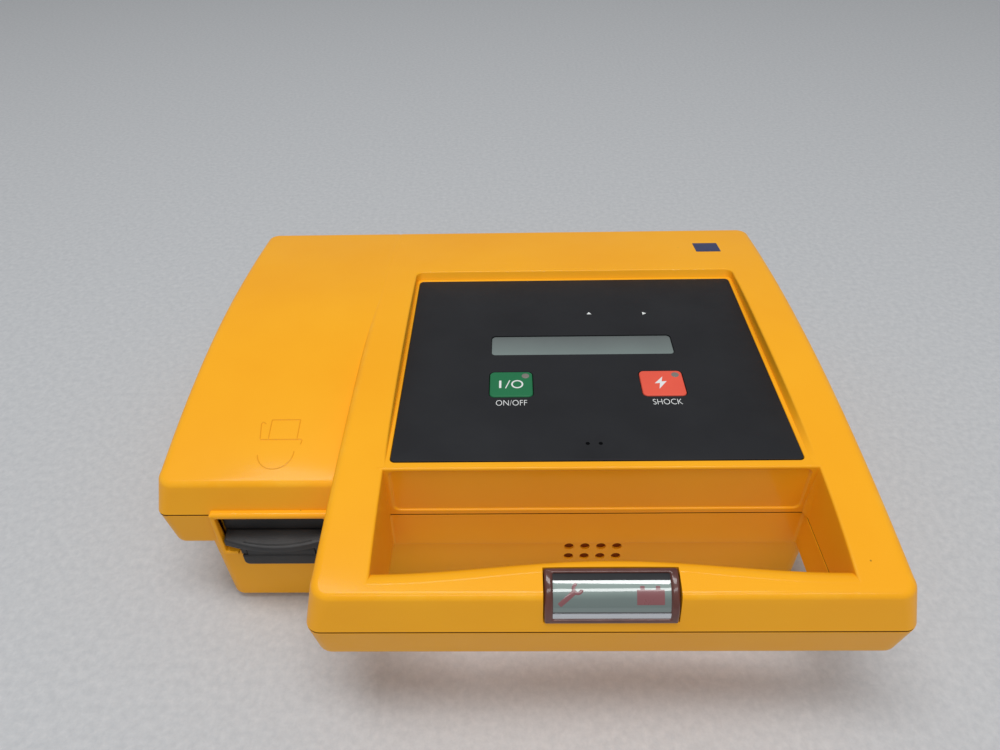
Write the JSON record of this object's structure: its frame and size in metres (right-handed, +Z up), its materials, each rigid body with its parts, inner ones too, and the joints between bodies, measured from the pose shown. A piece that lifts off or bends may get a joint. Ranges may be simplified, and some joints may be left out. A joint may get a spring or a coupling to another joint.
{
  "type": "defibrillator",
  "caption": "Portable automated defibrillator: arched case with a moulded front handle, recessed control panel with display and keys, readiness display in the grip, and a slide-out battery.",
  "frame": {"origin": "on the floor under the middle of the case's outline, handle included", "axes": "+X to the user's right, -Y towards the user and the handle, +Z up"},
  "size_m": [0.302, 0.265, 0.0968],
  "materials": {
    "case": "yellow moulded plastic, fine grain",
    "panel": "black printed overlay film",
    "key_green": "green key cap",
    "key_orange": "orange-red key cap",
    "lamp": "unlit lamp lens",
    "clear": "clear plastic window",
    "display": "liquid crystal display, grey-green",
    "bezel": "smoked brown plastic",
    "pack": "black moulded plastic",
    "dark": "dark grey moulded plastic",
    "rubber": "black rubber",
    "plated": "plated steel",
    "bare_aluminium": "extruded aluminium",
    "board": "green circuit board",
    "core": "ferrite and tape",
    "capacitor": "blue sleeved film capacitor",
    "ribbon": "grey ribbon",
    "lead_red": "red insulated wire"
  },
  "bodies": {
    "case": {"upper_case": "case", "lower_case": "case", "case_seal": "rubber", "panel_overlay": "panel", "display_window": "clear", "display_module": "display", "microphone": "plated", "key_board": "board", "on_off_switch": "dark", "shock_switch": "dark", "readiness_bezel": "bezel", "readiness_lens": "clear", "readiness_lcd": "display", "readiness_board": "board", "readiness_lead": "dark", "battery_well": "dark", "battery_terminals": "dark", "battery_lead": "lead_red", "speaker": "dark", "speaker_gasket": "rubber", "main_board": "board", "storage_capacitor": "capacitor", "charge_transformer": "core", "output_relay": "dark", "clock_cell": "plated", "output_bridge_sink": "bare_aluminium", "display_ribbon": "ribbon", "electrode_socket": "dark", "electrode_contact_left": "plated", "electrode_contact_right": "plated", "data_port": "plated", "data_port_cap": "rubber", "case_screw_1": "plated", "case_screw_2": "plated", "case_screw_3": "plated", "case_screw_4": "plated", "case_screw_5": "plated", "case_screw_6": "plated", "foot_1": "rubber", "foot_2": "rubber", "foot_3": "rubber", "foot_4": "rubber"},
    "on_off": {"on_off_key": "key_green", "on_off_lamp": "lamp"},
    "shock": {"shock_key": "key_orange", "shock_lamp": "lamp"},
    "battery": {"battery_pack": "pack", "battery_cap": "pack", "catch_pin": "plated", "battery_flange": "pack", "catch_lug_left": "pack", "catch_lug_right": "pack"},
    "catch": {"battery_catch": "pack"}
  },
  "joints": [
    {"name": "on_off_press", "type": "slide", "parent": "case", "child": "on_off", "axis": [0, 0, -1], "range_m": [0, 0.0008], "stiffness_N_per_m": 3000},
    {"name": "shock_press", "type": "slide", "parent": "case", "child": "shock", "axis": [0, 0, -1], "range_m": [0, 0.0008], "stiffness_N_per_m": 3000},
    {"name": "battery_slide", "type": "slide", "parent": "case", "child": "battery", "axis": [0, -1, 0], "range_m": [0, 0.16]},
    {"name": "catch_press", "type": "hinge", "parent": "battery", "child": "catch", "pos_m": [-0.1015, -0.0743, 0.0389], "axis": [1, 0, 0], "range_deg": [0, 10], "stiffness_Nm_per_rad": 0.25}
  ]
}
